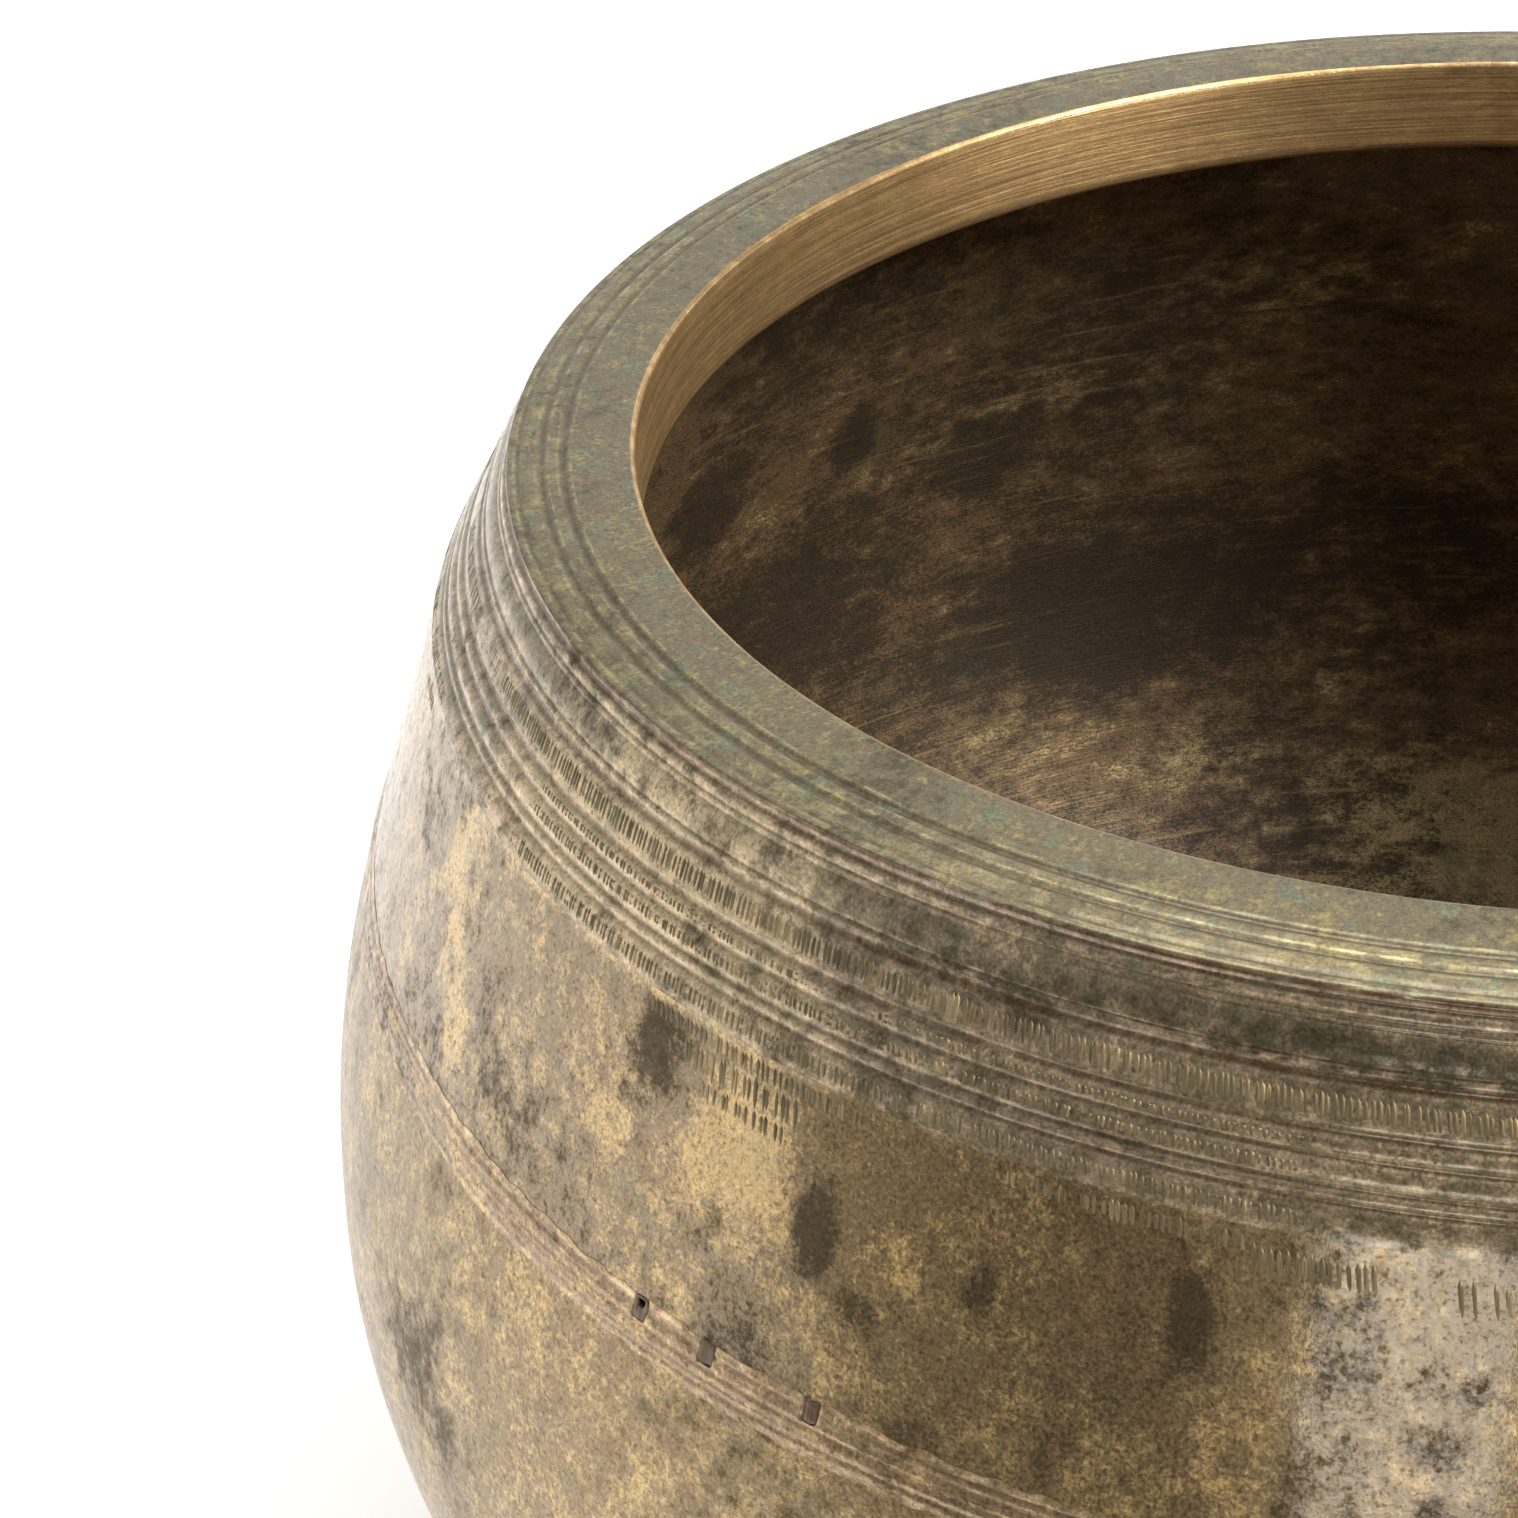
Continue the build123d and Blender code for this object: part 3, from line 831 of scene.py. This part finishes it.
def makeSeamBand():
    top, low = bandTop - seam["spill"], bandFoot + seam["spill"]
    count = seam["rowCount"]
    rows = []
    for k in range(count):                          # bottom edge up to the top edge
        t = k / (count - 1)
        crown = section["seamCrown"] * 4 * t * (1 - t)
        furrow = ridges(seam["furrows"], t)
        point = wallPoint(low + (top - low) * t, -seam["skin"] - crown + furrow)
        # the bright lines are painted highlights; the furrows are painted darker
        addRows(rows, [point], 0, min(1, ridges(seam["brightLines"], t)), min(1, furrow * 5))
    free = seam["clearance"]
    deep = section["seamDepth"] - free
    back = ((bandTop + free, deep * 0.4), (bandTop + free, deep), (wallLength, deep),
            (bandFoot - free, deep), (bandFoot - free, deep * 0.4))
    addRows(rows, [wallPoint(along, inset) for along, inset in back], 0)
    edgeWaves = wavesOf(*seam["raggedWaves"])
    fileWaves = wavesOf(*seam["filedWaves"])
    number = np.arange(len(rows))[:, None]
    outer = np.where(number < count, 1.0, 0.0)
    near = np.maximum(0, 1 - 5 * np.minimum(number, count - 1 - number) / count) * outer
    side = np.where(number < count / 2, -1.0, 1.0)

    def shift(theta, along, radius, height):
        move = castShift(theta, height)
        move = move + seam["filed"] * uneven(fileWaves, theta, along) * outer * (1 - near)
        for angle in allPinAngles():                # the band is let in behind each pin's head
            turn = np.abs(np.angle(np.exp(1j * (theta - math.radians(angle))))) * radius
            up = np.abs(height - seamZ - seam["pinRise"] * math.cos(wallTilt))
            inside = np.clip((seam["pinWidth"] / 2 - 0.25 - turn) / 0.3, 0, 1)
            inside = inside * np.clip((seam["pinHeight"] / 2 - 0.25 - up) / 0.3, 0, 1)
            move = move - seam["pinDeep"] * inside * outer
        return move

    def slide(theta, along):                        # ragged edges where the solder ran over
        return seam["ragged"] * np.tanh(uneven(edgeWaves, theta + side, 0 * along)) * near * side

    angles = columnAngles(seam["columns"], [(angle, *seam["pinColumns"]) for angle in allPinAngles()])
    piece = lathe("seamBand", rows, angles, [finish["solder"]], True, shift, slide,
                  (-math.sin(wallTilt), math.cos(wallTilt)))
    finishPiece(piece, "hard_solder", "seam_band")


def makeSeamPins():
    work = bmesh.new()
    dirt = work.verts.layers.float.new("dirt")
    rng = np.random.default_rng(seam["pinSeed"])
    sides = seam["pinSides"]
    r, z = wallPoint(wallLength - seam["pinRise"], 0)
    for number, angle in enumerate(allPinAngles()):
        turn = math.radians(angle)
        side = Vector((-math.sin(turn), math.cos(turn), 0))
        flat = math.cos(wallTilt)
        face = Vector((flat * math.cos(turn), flat * math.sin(turn), math.sin(wallTilt)))
        rise = face.cross(side)
        if rise.z < 0:
            rise = -rise
        middle = Vector((r * math.cos(turn), r * math.sin(turn), z))
        shape = rng.uniform(0.86, 1.0, 2)
        wobble = rng.uniform(0, 6.28, 3)
        holed = number % len(seam["pinAngles"]) == 0
        rings = []
        for grow, out, up, corner in seam["holedPin" if holed else "plainPin"]:
            ring = []
            for k in range(sides):
                a = k / sides * 2 * math.pi
                c, s = math.cos(a), math.sin(a)
                square = (abs(c) ** corner + abs(s) ** corner) ** (-1 / corner)
                uneasy = 1 + 0.05 * math.sin(3 * a + wobble[0]) + 0.03 * math.sin(5 * a + wobble[1])
                size = square * grow * uneasy
                w = c * size * seam["pinWidth"] / 2 * shape[0]
                h = s * size * seam["pinHeight"] / 2 * shape[1] + up
                dent = 0.02 * math.sin(2 * a + wobble[2]) if out > 0 else 0
                ring.append(work.verts.new((middle + side * w + rise * h + face * (out - dent)) * mm))
                ring[-1][dirt] = 1.0 if up > 0.7 else 0.0         # painted shade: the blown hole is painted black inside
            rings.append(ring)
        for a, b in zip(rings, rings[1:]):
            for k in range(sides):
                work.faces.new((a[k], a[(k + 1) % sides], b[(k + 1) % sides], b[k]))
        work.faces.new(rings[-1])
        work.faces.new(rings[0][::-1])
    bmesh.ops.recalc_face_normals(work, faces=work.faces)
    finishPiece(addPiece("seamPins", meshFrom(work, "seamPins", finish["rustedIron"])), "iron", "seam_pins")


# chatter marks left by the turner's tool: many small raised slivers in rings
chatter = dict(
    width=0.78, rise=0.080, sink=0.022, lean=8.0, jitter=0.3, patchSize=26.0, seed=11, seedStep=7,
    # shoulder band, share of its width, pitch, first angle and span in degrees, gaps
    shoulderRings=((4, 0.92, 0.30, 0, 360, 0.36), (5, 0.90, 0.31, 0, 360, 0.44),
                   (6, 0.90, 0.30, 0, 360, 0.40), (8, 0.86, 0.30, 0, 360, 0.36)),
    # distance down the wall, length, pitch, first angle, span, gaps
    wallRings=((1.8, 3.0, 0.32, 0, 360, 0.47), (4.6, 4.4, 0.36, 233.5, 7.0, 0.25),
               (7.6, 3.0, 0.38, 235, 5, 0.42), (3.4, 4.8, 0.34, 261, 5, 0.25), (4.0, 5.6, 0.62, 269, 5, 0.25)),
)


def markTree():                                     # one ring of slivers round the bowl
    tree = bpy.data.node_groups.new("chatterRing", "GeometryNodeTree")
    kinds = dict(Int="Count Seed", Material="Material",
                 Float="Radius Height Start Sweep Tilt Lean Length Width Rise Jitter Gaps Patch")
    sockets = {}
    for kind, names in kinds.items():
        for name in names.split():
            socket = tree.interface.new_socket(name, in_out="INPUT", socket_type="NodeSocket" + kind)
            sockets[name] = socket.identifier
    tree.interface.new_socket("Geometry", in_out="OUTPUT", socket_type="NodeSocketGeometry")
    given = addNode(tree, "NodeGroupInput").outputs

    def node(kind, inputs=None, **settings):
        return addNode(tree, kind, inputs, **settings).outputs[0]

    def maths(operation, a, b=0.0):
        return mathNode(tree, operation, a, b)

    def chance(low, high, seedStep):
        seed = maths("ADD", given["Seed"], seedStep)
        return addNode(tree, "FunctionNodeRandomValue", {2: low, 3: high, 8: seed}).outputs[1]

    line = node("GeometryNodeMeshLine", {"Count": given["Count"], "Offset": (0, 0, 0)})
    index = node("GeometryNodeInputIndex")
    pitch = maths("DIVIDE", given["Sweep"], given["Count"])
    place = maths("ADD", index, maths("MULTIPLY", chance(-1.0, 1.0, 1), given["Jitter"]))
    angle = maths("ADD", given["Start"], maths("MULTIPLY", place, pitch))
    x = maths("MULTIPLY", maths("COSINE", angle), given["Radius"])
    y = maths("MULTIPLY", maths("SINE", angle), given["Radius"])
    spot = node("ShaderNodeCombineXYZ", {0: x, 1: y, 2: given["Height"]})
    points = node("GeometryNodeSetPosition", {"Geometry": line, "Position": spot})
    patches = node("ShaderNodeTexNoise", {"Vector": spot, "Scale": given["Patch"], "Detail": 2.0})
    full = maths("ADD", given["Gaps"], 0.12)
    strength = node("ShaderNodeMapRange", {0: patches, 1: given["Gaps"], 2: full})
    shown = node("FunctionNodeCompare", {0: strength, 1: 0.15}, operation="GREATER_THAN")
    sliver = node("GeometryNodeMeshIcoSphere", {"Radius": 1.0, "Subdivisions": 1})
    turn = node("ShaderNodeCombineXYZ", {0: given["Lean"], 1: given["Tilt"], 2: angle})
    size = node("ShaderNodeCombineXYZ", {
        0: maths("MULTIPLY", maths("MULTIPLY", given["Rise"], strength), chance(0.6, 1.2, 2)),
        1: maths("MULTIPLY", given["Width"], chance(0.35, 0.5, 3)),
        2: maths("MULTIPLY", given["Length"], chance(0.35, 0.52, 4))})
    marks = node("GeometryNodeInstanceOnPoints", {
        "Points": points, "Selection": shown, "Instance": sliver,
        "Rotation": node("FunctionNodeEulerToRotation", {0: turn}), "Scale": size})
    smooth = node("GeometryNodeSetShadeSmooth", {0: node("GeometryNodeRealizeInstances", {0: marks})})
    done = node("GeometryNodeSetMaterial", {"Geometry": smooth, "Material": given["Material"]})
    addNode(tree, "NodeGroupOutput", {0: done})
    return tree, sockets


def chatterRings():                                 # middle, tilt, bend across, then the ring's own numbers
    rings = []
    bands = section["shoulderBands"]
    for number, share, *numbers in chatter["shoulderRings"]:
        width, crown = bands[number][2:4]
        along = sum(band[0] + band[2] for band in bands[:number + 1]) - width / 2
        middle = shoulderPoint(along, crown - chatter["sink"])
        rings.append((middle, slope - math.pi / 2, crown / (width / 2) ** 2, share * width, *numbers))
    for along, *numbers in chatter["wallRings"]:
        rings.append((wallPoint(along, chatter["sink"]), -wallTilt, 0.0, *numbers))
    return rings


def makeChatterMarks():
    tree, sockets = markTree()
    shared = {"Lean": math.radians(chatter["lean"]), "Width": chatter["width"] * mm,
              "Rise": chatter["rise"] * mm, "Jitter": chatter["jitter"], "Patch": chatter["patchSize"],
              "Material": finish["toolMarks"]}
    work = bmesh.new()
    for number, ((r, z), tilt, bend, length, pitch, start, sweep, gaps) in enumerate(chatterRings()):
        ring = addPiece("chatterRing", bpy.data.meshes.new("chatterRing"))
        modifier = ring.modifiers.new("marks", "NODES")
        modifier.node_group = tree
        own = {"Count": round(sweep / pitch), "Radius": r * mm, "Height": z * mm, "Start": math.radians(start),
               "Sweep": math.radians(sweep), "Tilt": tilt, "Length": length * mm, "Gaps": gaps,
               "Seed": chatter["seed"] + chatter["seedStep"] * number}
        for name, value in {**shared, **own}.items():
            modifier[sockets[name]] = value
        seen = ring.evaluated_get(bpy.context.evaluated_depsgraph_get())
        plain = bpy.data.meshes.new_from_object(seen)
        spots = np.empty(len(plain.vertices) * 3)
        plain.vertices.foreach_get("co", spots)
        spots = spots.reshape(-1, 3)
        theta = np.arctan2(spots[:, 1], spots[:, 0])
        height = spots[:, 2] / mm
        across = (height - z) / math.cos(tilt)      # the marks follow the uneven wall and the band's crown
        sunk = (castShift(theta, height) - bend * across ** 2) * mm
        out = np.stack([np.cos(theta) * math.cos(tilt), np.sin(theta) * math.cos(tilt),
                        np.full(len(theta), -math.sin(tilt))], axis=1)
        plain.vertices.foreach_set("co", (spots + out * sunk[:, None]).reshape(-1))
        work.from_mesh(plain)
        ring.modifiers.clear()
        bpy.data.objects.remove(ring)
        bpy.data.meshes.remove(plain)
    mesh = meshFrom(work, "chatterMarks", finish["toolMarks"])
    finishPiece(addPiece("chatterMarks", mesh), "aged_brass", "upper_casting")


makeUpperCasting()
makeLowerCasting()
makeSeamBand()
makeSeamPins()
makeChatterMarks()

view = bpy.context.scene.view_settings
view.view_transform = "Standard"
